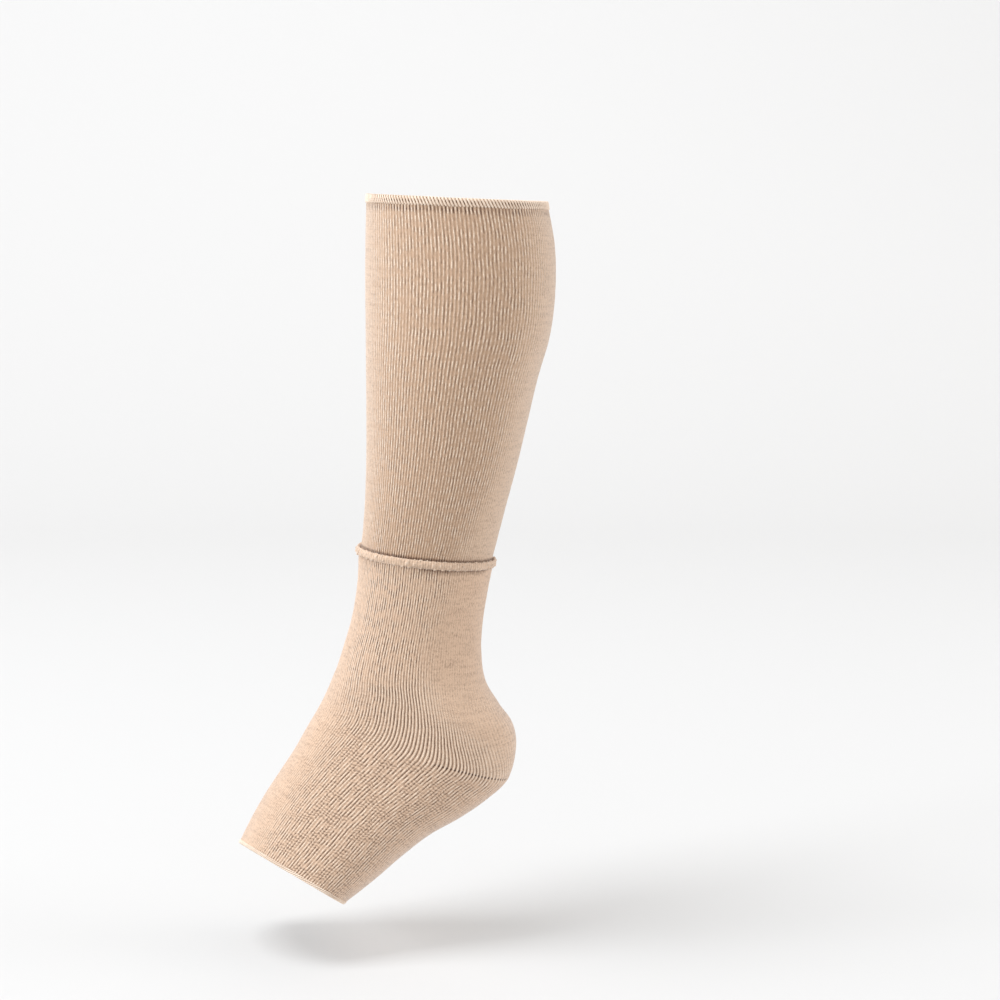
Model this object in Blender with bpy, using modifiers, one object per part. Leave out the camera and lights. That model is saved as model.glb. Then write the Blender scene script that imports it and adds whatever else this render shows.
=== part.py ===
"""Tubular support bandage for a lower leg: a knitted leg tube and, over its lower end, a knitted
foot sleeve with a heel pocket and an open toe.

Metres, +Z up. The origin is the centre of the top opening. -X is the shin and toe side, +X the
calf and heel side, -Y the outer side of a left leg and +Y its inner side.
"""

import math

import bmesh
import bpy
import numpy as np

# Walls and gaps
WALL = 0.0010  # one layer of the knit
GAP = 0.0003  # air between two pieces that lie on each other
COLUMNS = 44  # facets round each tube

# Leg tube, measured on its outer side
LEG_DROP = 0.2105  # centre of the top opening down to the middle of the rolled edge
SHIN_OUT = 0.0539  # axis to the shin line along the calf
CALF_OUT = 0.0570  # axis to the back of the calf at its fullest
CALF_WIDTH = 0.104  # side to side at the same height
TOP_TILT = math.radians(2.4)  # the top opening dips towards the back
ANKLE_FRONT = 0.0577  # axis to the shin line at the rolled edge
ANKLE_BACK = 0.0195  # axis to the back of the ankle at the rolled edge
ANKLE_WIDTH = 0.062
ROLL_TILT = math.radians(5.9)  # the rolled edge dips towards the back
OVERLAP = 0.036  # hidden length of the leg tube inside the foot sleeve

# Foot, measured on the line that the leg tube's outer side would follow
INSTEP_REACH = 0.0712  # shin at the rolled edge forward to the top of the toe edge
INSTEP_DROP = 0.1747  # and down to it
HEEL_OUT = 0.0331  # axis to the rearmost point of the heel
HEEL_DROP = 0.1115  # back of the rolled edge down to that point
SOLE_REACH = 0.1035  # that point forward to the bottom of the toe edge
SOLE_DROP = 0.0908  # and down to it
TOE_WIDTH = 0.078  # side to side at the toe edge
FOOT_SPLAY = 0.020  # how far the toe edge lies towards the outer side
CREST_SHIFT = 0.012  # how far the ridge of the instep lies towards the inner side
TOE_TURN = math.radians(16.8)  # the toe edge runs further forward on the inner side

# Rolled edge of the foot sleeve
ROLL_RADIUS = 0.00035  # inside of the curl, measured outwards from the wall
ROLL_HALF_HEIGHT = 0.0014  # inside of the curl, measured along the wall
ROLL_SWEEP = math.radians(268.0)
ROLL_STEPS = 8

# Overlocked hem and toe edging, each a channel of thread over a cut edge
HEM_HEIGHT = 0.0048
HEM_THREAD = 0.0004
EDGING_HEIGHT = 0.0024
EDGING_THREAD = 0.0003

# A channel's section: shares of its height below the cut edge, and of its thread outwards and up
LIP_DOWN = 0.9
BULGE_OUT = 1.2
BULGE_DOWN = 0.45
SHOULDER_OUT = 0.7
SHOULDER_UP = 0.4

# Leg sections from the top opening to the rolled edge. down: share of LEG_DROP. front: share of the
# way from SHIN_OUT to ANKLE_FRONT. back and width: share of the way from the ankle's size to the
# calf's. fat: how much wider the back half is than the front half.
LEG_COLUMNS = ("down", "front", "back", "width", "fat")
LEG_SECTIONS = (
    (0.00, -0.30, 0.87, 0.90, 0.04),
    (0.12, -0.10, 0.99, 0.98, 0.06),
    (0.24, 0.00, 1.00, 1.00, 0.08),
    (0.36, 0.00, 0.92, 0.94, 0.08),
    (0.48, 0.00, 0.73, 0.79, 0.07),
    (0.60, 0.00, 0.57, 0.61, 0.05),
    (0.72, 0.05, 0.41, 0.43, 0.02),
    (0.84, 0.26, 0.23, 0.25, -0.02),
    (0.93, 0.61, 0.10, 0.11, -0.05),
    (1.00, 1.00, 0.00, 0.00, -0.07),
)

# Foot sections from the rolled edge to the toe edge, opening like a fan round the heel. front_out
# and front_down: shares of INSTEP_REACH and INSTEP_DROP. heel_out: share of the way from ANKLE_BACK
# to HEEL_OUT. heel_down, sole_out and sole_down: shares of HEEL_DROP, SOLE_REACH and SOLE_DROP.
# width: share of the way from ANKLE_WIDTH to TOE_WIDTH. fat: as above. square: 0 for an ellipse,
# more for a boxier section. splay: share of FOOT_SPLAY. crest: of CREST_SHIFT. turn: of TOE_TURN.
FOOT_COLUMNS = ("front_out", "front_down", "heel_out", "heel_down", "sole_out", "sole_down",
                "width", "fat", "square", "splay", "crest", "turn")
FOOT_SECTIONS = (
    (0.000, 0.000, 0.00, 0.000, 0.000, 0.000, 0.00, -0.07, 0.00, 0.00, 0.00, 0.00),
    (0.014, 0.112, -0.25, 0.148, 0.000, 0.000, 0.00, -0.08, 0.02, 0.00, 0.00, 0.00),
    (0.062, 0.232, -0.47, 0.318, 0.000, 0.000, 0.03, -0.09, 0.05, 0.00, 0.00, 0.00),
    (0.131, 0.329, -0.54, 0.480, 0.000, 0.000, 0.19, -0.08, 0.10, 0.00, 0.00, 0.00),
    (0.184, 0.398, -0.36, 0.641, 0.000, 0.000, 0.38, -0.06, 0.16, 0.01, 0.02, 0.00),
    (0.220, 0.435, 0.27, 0.776, 0.000, 0.000, 0.47, -0.04, 0.20, 0.02, 0.05, 0.00),
    (0.245, 0.460, 0.85, 0.879, 0.000, 0.000, 0.50, -0.03, 0.22, 0.03, 0.09, 0.01),
    (0.270, 0.484, 1.00, 1.000, 0.000, 0.000, 0.44, -0.02, 0.24, 0.05, 0.14, 0.02),
    (0.305, 0.516, 1.00, 1.000, 0.043, 0.200, 0.38, 0.00, 0.25, 0.08, 0.20, 0.04),
    (0.364, 0.561, 1.00, 1.000, 0.159, 0.330, 0.34, 0.03, 0.26, 0.15, 0.30, 0.09),
    (0.457, 0.625, 1.00, 1.000, 0.318, 0.450, 0.38, 0.06, 0.28, 0.27, 0.42, 0.18),
    (0.562, 0.700, 1.00, 1.000, 0.496, 0.558, 0.47, 0.09, 0.30, 0.41, 0.55, 0.31),
    (0.674, 0.769, 1.00, 1.000, 0.656, 0.692, 0.62, 0.11, 0.32, 0.56, 0.67, 0.47),
    (0.800, 0.848, 1.00, 1.000, 0.801, 0.828, 0.78, 0.12, 0.34, 0.72, 0.79, 0.65),
    (0.907, 0.925, 1.00, 1.000, 0.907, 0.921, 0.91, 0.12, 0.35, 0.88, 0.91, 0.84),
    (1.000, 1.000, 1.00, 1.000, 1.000, 1.000, 1.00, 0.12, 0.36, 1.00, 1.00, 1.00),
)

LEG_ROWS = 13  # facets down the leg tube's visible part
ROWS_PER_SECTION = 2  # facets down the foot sleeve for each section
ROLL_ROW = float(len(LEG_SECTIONS) - 1)
TOE_ROW = ROLL_ROW + len(FOOT_SECTIONS) - 1

# Colours: the sandy cotton of the knit and the paler thread over its edges
KNIT_COLOUR = (0.60, 0.45, 0.32, 1.0)
THREAD_COLOUR = (0.70, 0.56, 0.42, 1.0)
CLOTH_ROUGHNESS = 0.9


def between(low, high, share):
    """A size that lies this share of the way from low to high."""
    return low + (high - low) * share


def leg_points():
    """Front and back points and form of each leg section, one row each."""
    table = dict(zip(LEG_COLUMNS, np.array(LEG_SECTIONS).T))
    front = between(SHIN_OUT, ANKLE_FRONT, table["front"])
    back = between(ANKLE_BACK, CALF_OUT, table["back"])
    width = between(ANKLE_WIDTH, CALF_WIDTH, table["width"])
    half_drop = (front + back) / 2 * np.tan(between(TOP_TILT, ROLL_TILT, table["down"]))
    middle = -LEG_DROP * table["down"]
    plain = np.zeros(len(front))
    return np.column_stack(
        (-front, middle + half_drop, back, middle - half_drop, width, table["fat"],
         plain, plain, plain, plain)
    )


def foot_points():
    """The same for the foot sections, which start from the last leg section."""
    table = dict(zip(FOOT_COLUMNS, np.array(FOOT_SECTIONS).T))
    start = leg_points()[-1]
    front = -ANKLE_FRONT - INSTEP_REACH * table["front_out"]
    front_z = start[1] - INSTEP_DROP * table["front_down"]
    back = between(ANKLE_BACK, HEEL_OUT, table["heel_out"]) - SOLE_REACH * table["sole_out"]
    back_z = start[3] - HEEL_DROP * table["heel_down"] - SOLE_DROP * table["sole_down"]
    width = between(ANKLE_WIDTH, TOE_WIDTH, table["width"])
    return np.column_stack(
        (front, front_z, back, back_z, width, table["fat"], table["square"],
         FOOT_SPLAY * table["splay"], CREST_SHIFT * table["crest"], TOE_TURN * table["turn"])
    )


def smooth_rows(table, rows):
    """Rows read from a Catmull-Rom curve through the table, at any place between its rows."""
    last = len(table) - 1
    index = np.clip(np.floor(rows).astype(int), 0, last - 1)
    step = (rows - index)[:, None]
    before = np.where(index[:, None] > 0, table[np.maximum(index - 1, 0)],
                      2 * table[index] - table[index + 1])
    after = np.where(index[:, None] < last - 1, table[np.minimum(index + 2, last)],
                     2 * table[index + 1] - table[index])
    here, there = table[index], table[index + 1]
    return here + 0.5 * step * (
        there - before
        + step * (2 * before - 5 * here + 4 * there - after
                  + step * (3 * here - before - 3 * there + after))
    )


def tube_rows(rows, out):
    """Closed sections of the worn shape, pushed outwards: a ring of points for each row.

    Angle 0 is the front, a quarter turn the inner side. A section is a superellipse between its
    front and back points, with its ridge shifted inwards and its sideways axis turned forwards.
    """
    table = np.vstack((leg_points(), foot_points()[1:]))
    values = smooth_rows(table, np.asarray(rows, float)).T[:, :, None]
    front, front_z, back, back_z, width, fat, square, splay, crest, turn = values
    angle = np.arange(COLUMNS) * math.tau / COLUMNS
    power = 2 / (2 + square)
    ahead = np.sign(np.cos(angle)) * np.abs(np.cos(angle)) ** power
    aside = np.sign(np.sin(angle)) * np.abs(np.sin(angle)) ** power
    run_x, run_z = back - front, back_z - front_z
    depth = np.hypot(run_x, run_z)
    run_x, run_z = run_x / depth, run_z / depth
    along = -ahead * (depth / 2 + out)
    sideways = aside * (width / 2 + out) * (1 - fat * ahead) + crest * (1 + ahead) / 2
    return np.stack(
        (
            (front + back) / 2 + run_x * along + run_z * np.sin(turn) * sideways,
            -splay + np.cos(turn) * sideways,
            (front_z + back_z) / 2 + run_z * along - run_x * np.sin(turn) * sideways,
        ),
        axis=-1,
    )


def edge_directions(edge, near):
    """Directions at an open edge: out of the wall's outer side, and on past the edge.

    near is the ring of the wall next to the edge ring.
    """
    past = edge - near
    past /= np.linalg.norm(past, axis=-1, keepdims=True)
    round_edge = np.roll(edge, -1, axis=0) - np.roll(edge, 1, axis=0)
    outward = np.cross(past, round_edge)
    outward /= np.linalg.norm(outward, axis=-1, keepdims=True)
    outward *= np.sign(np.sum(outward * (edge - edge.mean(axis=0))))
    return outward, past


def cloth(colour, name):
    """A plain rough cloth material."""
    material = bpy.data.materials.new(name)
    material.use_nodes = True
    shader = material.node_tree.nodes["Principled BSDF"]
    shader.inputs["Base Color"].default_value = colour
    shader.inputs["Roughness"].default_value = CLOTH_ROUGHNESS
    shader.inputs["Metallic"].default_value = 0.0
    return material


def loft(name, grid, colour, closed):
    """An object whose faces join the points of each row of a grid to the next row's.

    Every row is a ring. Where closed is true the last row also meets the first.
    """
    mesh = bpy.data.meshes.new(name)
    shape = bmesh.new()
    rings = [[shape.verts.new(point) for point in row] for row in grid.tolist()]
    pairs = list(zip(rings, rings[1:]))
    if closed:
        pairs.append((rings[-1], rings[0]))
    for upper, lower in pairs:
        for i, corner in enumerate(upper):
            after = (i + 1) % COLUMNS
            shape.faces.new((corner, upper[after], lower[after], lower[i]))
    shape.to_mesh(mesh)
    shape.free()
    mesh.shade_smooth()
    mesh.materials.append(cloth(colour, name + "_cloth"))
    made = bpy.data.objects.new(name, mesh)
    collection.objects.link(made)
    return made


def wall(made):
    """Gives an open surface the knit's thickness, inwards."""
    solid = made.modifiers.new("knit wall", "SOLIDIFY")
    solid.thickness = WALL
    solid.offset = -1.0
    solid.use_even_offset = True


def sleeve_rows():
    """Places of the foot sleeve's rows, from the rolled edge to the toe edge."""
    count = (len(FOOT_SECTIONS) - 1) * ROWS_PER_SECTION + 1
    return np.linspace(ROLL_ROW, TOE_ROW, count)


def leg_rows():
    """Places of the leg tube's rows. Inside the foot sleeve they are the sleeve's own rows."""
    visible = np.linspace(0, ROLL_ROW, LEG_ROWS + 1)
    rows = sleeve_rows()
    shin = tube_rows(rows, 0)[:, 0]
    end = np.interp(OVERLAP, np.linalg.norm(shin - shin[0], axis=-1), rows)
    inside = rows[(rows > ROLL_ROW) & (rows < end - 0.5 / ROWS_PER_SECTION)]
    return np.concatenate((visible, inside, [end]))


def make_leg_tube():
    """The leg tube, from the hem to its hidden lower end inside the foot sleeve."""
    wall(loft("leg_tube", tube_rows(leg_rows(), 0), KNIT_COLOUR, closed=False))


def make_foot_sleeve():
    """The foot sleeve: its top edge curls outwards and down in one with the wall."""
    rings = tube_rows(sleeve_rows(), GAP + WALL)
    outward, past = edge_directions(rings[0], rings[1])
    turn = math.pi - np.linspace(ROLL_SWEEP, 0, ROLL_STEPS + 1)[:-1, None, None]
    curl = (
        rings[0]
        + outward * ROLL_RADIUS * (1 + np.cos(turn))
        + past * ROLL_HALF_HEIGHT * np.sin(turn)
    )
    wall(loft("foot_sleeve", np.concatenate((curl, rings)), KNIT_COLOUR, closed=False))


def make_channel(name, edge, near, height, thread):
    """A ring of thread that straddles a cut edge with the gap all round it.

    Its section runs from the outer lip over the edge to the inner lip, then back round the gap.
    """
    outward, past = edge_directions(edge, near)
    half = (
        (GAP, -height),
        (GAP + thread, -height * LIP_DOWN),
        (GAP + thread * BULGE_OUT, -height * BULGE_DOWN),
        (GAP + thread * SHOULDER_OUT, GAP + thread * SHOULDER_UP),
    )
    mirrored = tuple((-WALL - side, along) for side, along in reversed(half))
    crown = ((-WALL / 2, GAP + thread),)
    inside = ((-WALL - GAP, GAP), (GAP, GAP))
    profile = half + crown + mirrored + inside
    grid = np.stack([edge + outward * side + past * along for side, along in profile])
    top = near[:, 2].mean() < edge[:, 2].mean()
    loft(name, grid[::-1] if top else grid, THREAD_COLOUR, closed=True)


for old in list(bpy.data.objects):
    bpy.data.objects.remove(old, do_unlink=True)
collection = bpy.data.collections.new("tubular_support_bandage")
bpy.context.scene.collection.children.link(collection)

make_leg_tube()
make_foot_sleeve()
top_edge, below_top = tube_rows(leg_rows(), 0)[:2]
make_channel("leg_hem", top_edge, below_top, HEM_HEIGHT, HEM_THREAD)
above_toe, toe_edge = tube_rows(sleeve_rows(), GAP + WALL)[-2:]
make_channel("toe_edging", toe_edge, above_toe, EDGING_HEIGHT, EDGING_THREAD)
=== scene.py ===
# %% [markdown]
# # A knitted bandage from surface functions
#
# The tubular support bandage is two knitted tubes, one over the other. Each is a surface: a function
# that gives a point for a place down the tube and a place round it. The steps are
#
# 1. the worn shape as a table of sections, read by a smooth curve,
# 2. the wales, which are the columns of stitches, laid over that shape,
# 3. ribs and a heel line as heights along the surface's normal, and an edge that curls outwards,
# 4. threads swept along paths for the overlocked edges,
# 5. the knit's materials, light, floor and camera.
#
# Metres, +Z up. The origin is the centre of the top opening, -X is the front and toe side and -Y
# the outer side of a bandage worn on the left.

# %% Frame
import math

import bpy
import numpy as np
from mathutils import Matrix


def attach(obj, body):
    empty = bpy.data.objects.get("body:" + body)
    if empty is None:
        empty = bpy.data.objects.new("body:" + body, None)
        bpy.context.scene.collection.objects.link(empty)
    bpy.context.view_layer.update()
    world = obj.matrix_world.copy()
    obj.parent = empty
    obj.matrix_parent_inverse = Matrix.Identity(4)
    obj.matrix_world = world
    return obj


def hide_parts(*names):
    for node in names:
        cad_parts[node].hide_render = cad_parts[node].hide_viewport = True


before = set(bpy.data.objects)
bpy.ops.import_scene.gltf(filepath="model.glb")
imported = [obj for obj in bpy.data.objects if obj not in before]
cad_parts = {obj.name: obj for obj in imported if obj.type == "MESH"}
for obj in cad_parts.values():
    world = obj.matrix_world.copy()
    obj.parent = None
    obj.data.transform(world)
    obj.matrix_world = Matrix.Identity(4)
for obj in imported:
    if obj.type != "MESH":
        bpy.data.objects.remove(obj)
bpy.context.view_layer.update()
print("nodes:", ", ".join(sorted(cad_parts)))

# %% [markdown]
# ## Sizes and sections
#
# Worn, the bandage is wide at the calf, narrow at the ankle, and turns forwards at the heel. Such a
# form could be sculpted. A table of sections is used, because each girth can then be measured. The
# named sizes and tables are those of the solid model's source, so the knit lies on its walls, and
# the tables hold shares of the named sizes.

# %% Sizes
WALL = 0.0010
GAP = 0.0003
LEG_DROP = 0.2105
SHIN_OUT = 0.0539
CALF_OUT = 0.0570
CALF_WIDTH = 0.104
TOP_TILT = math.radians(2.4)
ANKLE_FRONT = 0.0577
ANKLE_BACK = 0.0195
ANKLE_WIDTH = 0.062
ROLL_TILT = math.radians(5.9)
OVERLAP = 0.036
INSTEP_REACH = 0.0712
INSTEP_DROP = 0.1747
HEEL_OUT = 0.0331
HEEL_DROP = 0.1115
SOLE_REACH = 0.1035
SOLE_DROP = 0.0908
TOE_WIDTH = 0.078
FOOT_SPLAY = 0.020
CREST_SHIFT = 0.012
TOE_TURN = math.radians(16.8)
ROLL_RADIUS = 0.00035
ROLL_HALF_HEIGHT = 0.0014
ROLL_SWEEP = math.radians(268.0)
HEM_HEIGHT = 0.0048
EDGING_HEIGHT = 0.0020

LEG_COLUMNS = ("down", "front", "back", "width", "fat")
LEG_SECTIONS = (
    (0.00, -0.30, 0.87, 0.90, 0.04),
    (0.12, -0.10, 0.99, 0.98, 0.06),
    (0.24, 0.00, 1.00, 1.00, 0.08),
    (0.36, 0.00, 0.92, 0.94, 0.08),
    (0.48, 0.00, 0.73, 0.79, 0.07),
    (0.60, 0.00, 0.57, 0.61, 0.05),
    (0.72, 0.05, 0.41, 0.43, 0.02),
    (0.84, 0.26, 0.23, 0.25, -0.02),
    (0.93, 0.61, 0.10, 0.11, -0.05),
    (1.00, 1.00, 0.00, 0.00, -0.07),
)
FOOT_COLUMNS = ("front_out", "front_down", "heel_out", "heel_down", "sole_out", "sole_down",
                "width", "fat", "square", "splay", "crest", "turn")
FOOT_SECTIONS = (
    (0.000, 0.000, 0.00, 0.000, 0.000, 0.000, 0.00, -0.07, 0.00, 0.00, 0.00, 0.00),
    (0.014, 0.112, -0.25, 0.148, 0.000, 0.000, 0.00, -0.08, 0.02, 0.00, 0.00, 0.00),
    (0.062, 0.232, -0.47, 0.318, 0.000, 0.000, 0.03, -0.09, 0.05, 0.00, 0.00, 0.00),
    (0.131, 0.329, -0.54, 0.480, 0.000, 0.000, 0.19, -0.08, 0.10, 0.00, 0.00, 0.00),
    (0.184, 0.398, -0.36, 0.641, 0.000, 0.000, 0.38, -0.06, 0.16, 0.01, 0.02, 0.00),
    (0.220, 0.435, 0.27, 0.776, 0.000, 0.000, 0.47, -0.04, 0.20, 0.02, 0.05, 0.00),
    (0.245, 0.460, 0.85, 0.879, 0.000, 0.000, 0.50, -0.03, 0.22, 0.03, 0.09, 0.01),
    (0.270, 0.484, 1.00, 1.000, 0.000, 0.000, 0.44, -0.02, 0.24, 0.05, 0.14, 0.02),
    (0.305, 0.516, 1.00, 1.000, 0.043, 0.200, 0.38, 0.00, 0.25, 0.08, 0.20, 0.04),
    (0.364, 0.561, 1.00, 1.000, 0.159, 0.330, 0.34, 0.03, 0.26, 0.15, 0.30, 0.09),
    (0.457, 0.625, 1.00, 1.000, 0.318, 0.450, 0.38, 0.06, 0.28, 0.27, 0.42, 0.18),
    (0.562, 0.700, 1.00, 1.000, 0.496, 0.558, 0.47, 0.09, 0.30, 0.41, 0.55, 0.31),
    (0.674, 0.769, 1.00, 1.000, 0.656, 0.692, 0.62, 0.11, 0.32, 0.56, 0.67, 0.47),
    (0.800, 0.848, 1.00, 1.000, 0.801, 0.828, 0.78, 0.12, 0.34, 0.72, 0.79, 0.65),
    (0.907, 0.925, 1.00, 1.000, 0.907, 0.921, 0.91, 0.12, 0.35, 0.88, 0.91, 0.84),
    (1.000, 1.000, 1.00, 1.000, 1.000, 1.000, 1.00, 0.12, 0.36, 1.00, 1.00, 1.00),
)
ROLL_ROW = float(len(LEG_SECTIONS) - 1)
TOE_ROW = ROLL_ROW + len(FOOT_SECTIONS) - 1
HEEL_ROW = ROLL_ROW + 8  # the section that the heel line lies on

# %% [markdown]
# ## The worn shape
#
# The walls have no seam, so the form is smooth all over. It could be a cage of few faces with
# Subdivision Surface. A function is chosen, because both walls, both sides of each and all threads
# can then ask it for any point. `worn_surface(rows, angles, out)` is that function. A row reads its
# front and back points, width and form from the tables through a smooth curve. An angle goes round
# the section, from the front by the inner side. A section is a superellipse: cosine and sine,
# raised to a power that keeps their signs, scaled to half the depth and half the width.


# %% The worn surface
def between(low, high, share):
    """A size that lies this share of the way from low to high."""
    return low + (high - low) * share


def leg_points():
    """Front and back points and form of each leg section, one row each."""
    table = dict(zip(LEG_COLUMNS, np.array(LEG_SECTIONS).T))
    front = between(SHIN_OUT, ANKLE_FRONT, table["front"])
    back = between(ANKLE_BACK, CALF_OUT, table["back"])
    width = between(ANKLE_WIDTH, CALF_WIDTH, table["width"])
    half_drop = (front + back) / 2 * np.tan(between(TOP_TILT, ROLL_TILT, table["down"]))
    middle = -LEG_DROP * table["down"]
    plain = np.zeros(len(front))
    return np.column_stack(
        (-front, middle + half_drop, back, middle - half_drop, width, table["fat"],
         plain, plain, plain, plain)
    )


def foot_points():
    """The same for the foot sections, which start from the last leg section."""
    table = dict(zip(FOOT_COLUMNS, np.array(FOOT_SECTIONS).T))
    start = leg_points()[-1]
    front = -ANKLE_FRONT - INSTEP_REACH * table["front_out"]
    front_z = start[1] - INSTEP_DROP * table["front_down"]
    back = between(ANKLE_BACK, HEEL_OUT, table["heel_out"]) - SOLE_REACH * table["sole_out"]
    back_z = start[3] - HEEL_DROP * table["heel_down"] - SOLE_DROP * table["sole_down"]
    width = between(ANKLE_WIDTH, TOE_WIDTH, table["width"])
    return np.column_stack(
        (front, front_z, back, back_z, width, table["fat"], table["square"],
         FOOT_SPLAY * table["splay"], CREST_SHIFT * table["crest"], TOE_TURN * table["turn"])
    )


def smooth_rows(table, rows):
    """Rows read from a Catmull-Rom curve through the table, at any place between its rows."""
    last = len(table) - 1
    index = np.clip(np.floor(rows).astype(int), 0, last - 1)
    step = (rows - index)[..., None]
    before = np.where(index[..., None] > 0, table[np.maximum(index - 1, 0)],
                      2 * table[index] - table[index + 1])
    after = np.where(index[..., None] < last - 1, table[np.minimum(index + 2, last)],
                     2 * table[index + 1] - table[index])
    here, there = table[index], table[index + 1]
    return here + 0.5 * step * (
        there - before
        + step * (2 * before - 5 * here + 4 * there - after
                  + step * (3 * here - before - 3 * there + after))
    )


SECTIONS = np.vstack((leg_points(), foot_points()[1:]))


def worn_surface(rows, angles, out):
    """A point for each row and angle: one row for each line of angles, or a row for each angle.

    along = -cosine to a power, times half the depth; sideways = sine to the same power, times half
    the width, times one less fat times the cosine, plus the ridge's shift. The point is the middle
    of the section, plus along on the line from front to back, plus sideways on an axis that the
    turn leans forwards.
    """
    rows = np.asarray(rows, float)
    if rows.ndim == 1:
        rows = rows[:, None]
    values = np.moveaxis(smooth_rows(SECTIONS, rows), -1, 0)
    front, front_z, back, back_z, width, fat, square, splay, crest, turn = values
    power = 2 / (2 + square)
    ahead = np.sign(np.cos(angles)) * np.abs(np.cos(angles)) ** power
    aside = np.sign(np.sin(angles)) * np.abs(np.sin(angles)) ** power
    run_x, run_z = back - front, back_z - front_z
    depth = np.hypot(run_x, run_z)
    run_x, run_z = run_x / depth, run_z / depth
    along = -ahead * (depth / 2 + out)
    sideways = aside * (width / 2 + out) * (1 - fat * ahead) + crest * (1 + ahead) / 2
    return np.stack(
        (
            (front + back) / 2 + run_x * along + run_z * np.sin(turn) * sideways,
            -splay + np.cos(turn) * sideways,
            (front_z + back_z) / 2 + run_z * along - run_x * np.sin(turn) * sideways,
        ),
        axis=-1,
    )


corners = worn_surface([0, HEEL_ROW, TOE_ROW], np.array([[0, math.pi]]), 0)
print("front and back of three sections, mm:", (corners * 1000).round(1).tolist())

# %% [markdown]
# ## Wales laid over the shape
#
# Wales are the columns of stitches, and a knitted heel pocket bends them: above the heel line they
# come down steeply, below it they run towards the toe edge. Straight columns with a painted pattern
# would miss that bend, so the mesh's own columns follow the wales. There are 150 round the tube, at
# equal distances along each section. The heel line is the ring at `HEEL_ROW`, bowed downwards at
# the sides. `wale_places` gives a row and an angle for each wale, from its side, the share of the
# way from the front (0) to the back (1).

# %% Wales
WALES = 150
COLUMNS_PER_WALE = 5
COLUMNS = WALES * COLUMNS_PER_WALE
MOVE_ROWS = (12.0, 13.0, 14.0, 15.0, 16.0, 17.0, 18.0, 20.0, 24.0)
MOVE_SIDES = (0.0, 0.2, 0.35, 0.5, 0.6, 0.7, 0.8, 0.9, 1.0)
MOVES = (  # towards the front, as shares of half a section, one line for each of MOVE_ROWS
    (0.0, 0.000, 0.000, 0.000, 0.000, 0.000, 0.000, 0.000, 0.0),
    (0.0, 0.002, 0.004, 0.006, 0.008, 0.014, 0.018, 0.012, 0.0),
    (0.0, 0.010, 0.020, 0.024, 0.028, 0.044, 0.056, 0.042, 0.0),
    (0.0, 0.022, 0.042, 0.045, 0.046, 0.060, 0.078, 0.060, 0.0),
    (0.0, 0.026, 0.048, 0.047, 0.042, 0.050, 0.056, 0.038, 0.0),
    (0.0, 0.028, 0.052, 0.046, 0.026, 0.008, 0.002, -0.018, 0.0),
    (0.0, 0.028, 0.055, 0.047, 0.032, 0.022, 0.016, 0.000, 0.0),
    (0.0, 0.028, 0.055, 0.047, 0.034, 0.032, 0.034, 0.016, 0.0),
    (0.0, 0.020, 0.035, 0.034, 0.028, 0.028, 0.028, 0.016, 0.0),
)
BOW_SIDES = (0.0, 0.2, 0.35, 0.45, 0.55, 0.63, 0.70, 0.77, 0.86, 1.0)
BOWS = (0.0, 0.20, 0.50, 0.42, 0.32, 0.24, 0.12, 0.05, 0.0, 0.0)  # in rows, down at the heel line
BOW_SPREAD = 2.0
RING_POINTS, TABLE_ROWS, TABLE_SHARES, FINE_COUNT = 721, 481, 1501, 201


def smooth_step(low, high, value):
    """0 below low, 1 above high, and a smooth slope between."""
    share = np.clip((value - low) / (high - low), 0, 1)
    return share * share * (3 - 2 * share)


def side_of(turn):
    """The share of the way from the front (0) to the back (1), for a share of a whole turn."""
    return 1 - np.abs(1 - 2 * turn)


def angle_table(rows, shares):
    """The angle at each share of each section's length, measured along a fine ring of points."""
    dense = np.linspace(0, math.tau, RING_POINTS)
    ring = worn_surface(rows, dense[None, :], 0)
    run = np.cumsum(np.linalg.norm(np.diff(ring, axis=1), axis=-1), axis=1)
    run = np.hstack((np.zeros((len(rows), 1)), run)) / run[:, -1:]
    return np.stack([np.interp(shares, line, dense) for line in run])


ANGLES = angle_table(np.linspace(0, TOE_ROW, TABLE_ROWS), np.linspace(0, 1, TABLE_SHARES))


def section_angles(rows, shares):
    """The angle table read between its rows and columns."""
    down = np.clip(rows / TOE_ROW, 0, 1) * (TABLE_ROWS - 1)
    across = np.clip(shares, 0, 1) * (TABLE_SHARES - 1)
    row = np.minimum(down.astype(int), TABLE_ROWS - 2)
    column = np.minimum(across.astype(int), TABLE_SHARES - 2)
    return between(
        between(ANGLES[row, column], ANGLES[row, column + 1], across - column),
        between(ANGLES[row + 1, column], ANGLES[row + 1, column + 1], across - column),
        down - row,
    )


def smooth_table(places, table, wanted):
    """A table read by a smooth curve, at any place between its uneven places."""
    return smooth_rows(np.asarray(table, float), np.interp(wanted, places, np.arange(len(places))))


FINE_SIDES = np.linspace(0, 1, FINE_COUNT)
FINE_BOWS = smooth_table(BOW_SIDES, np.array(BOWS)[:, None], FINE_SIDES)[:, 0]
FINE_MOVES = smooth_table(MOVE_SIDES, np.array(MOVES).T, FINE_SIDES).T


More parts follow.
